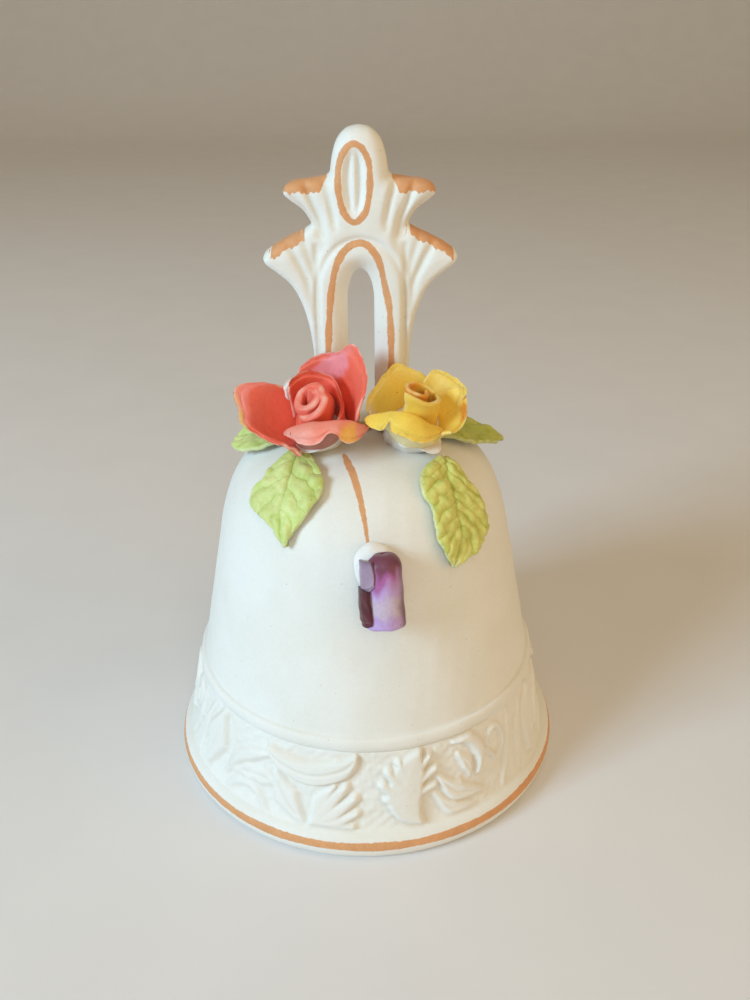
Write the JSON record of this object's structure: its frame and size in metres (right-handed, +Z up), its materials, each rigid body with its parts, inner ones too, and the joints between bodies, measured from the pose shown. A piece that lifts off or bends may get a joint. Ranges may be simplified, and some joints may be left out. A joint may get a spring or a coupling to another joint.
{
  "type": "porcelain bell",
  "caption": "Hand bell of bisque porcelain with an arched handle, a moulded relief band, applied roses, leaves and bud, and a wire-hung clapper.",
  "frame": {"origin": "centre of the circle that the lip stands on", "axes": "+Z up the bell's axis to the handle, -Y to the front with the roses, +X to the right of the front"},
  "size_m": [0.081, 0.081, 0.126],
  "materials": {
    "bisque": "matte unglazed bisque",
    "coral_petal": "matte painted bisque",
    "yellow_petal": "matte painted bisque",
    "leaf_green": "matte painted bisque",
    "lilac_petal": "matte painted bisque",
    "maroon_petal": "satin painted bisque",
    "wire": "drawn brass wire"
  },
  "bodies": {
    "bell": {"bell_shell": "bisque", "handle": "bisque", "red_rose_pad": "bisque", "red_rose_core": "coral_petal", "red_rose_wrap_petal": "coral_petal", "red_rose_left_petal": "coral_petal", "red_rose_back_petal": "coral_petal", "red_rose_rear_petal": "bisque", "red_rose_front_petal": "coral_petal", "yellow_rose_pad": "bisque", "yellow_rose_core": "yellow_petal", "yellow_rose_left_petal": "yellow_petal", "yellow_rose_back_petal": "yellow_petal", "yellow_rose_right_petal": "yellow_petal", "yellow_rose_front_petal": "yellow_petal", "leaf_front_left": "leaf_green", "leaf_front_right": "leaf_green", "leaf_side_left": "leaf_green", "leaf_side_right": "leaf_green", "bud_calyx": "bisque", "bud_main_petal": "lilac_petal", "bud_side_petal": "lilac_petal", "bud_strip_petal": "maroon_petal"},
    "hanger": {"hanger_pin": "wire"},
    "clapper": {"clapper_wire": "wire", "clapper_ball": "bisque"}
  },
  "joints": [
    {"name": "hanger_swivel", "type": "hinge", "parent": "bell", "child": "hanger", "pos_m": [0, 0, 0.0688], "axis": [0, 0, 1], "continuous": true},
    {"name": "clapper_swing", "type": "hinge", "parent": "hanger", "child": "clapper", "pos_m": [0, 0, 0.062], "axis": [1, 0, 0], "range_deg": [-35.5, 35.5]}
  ]
}
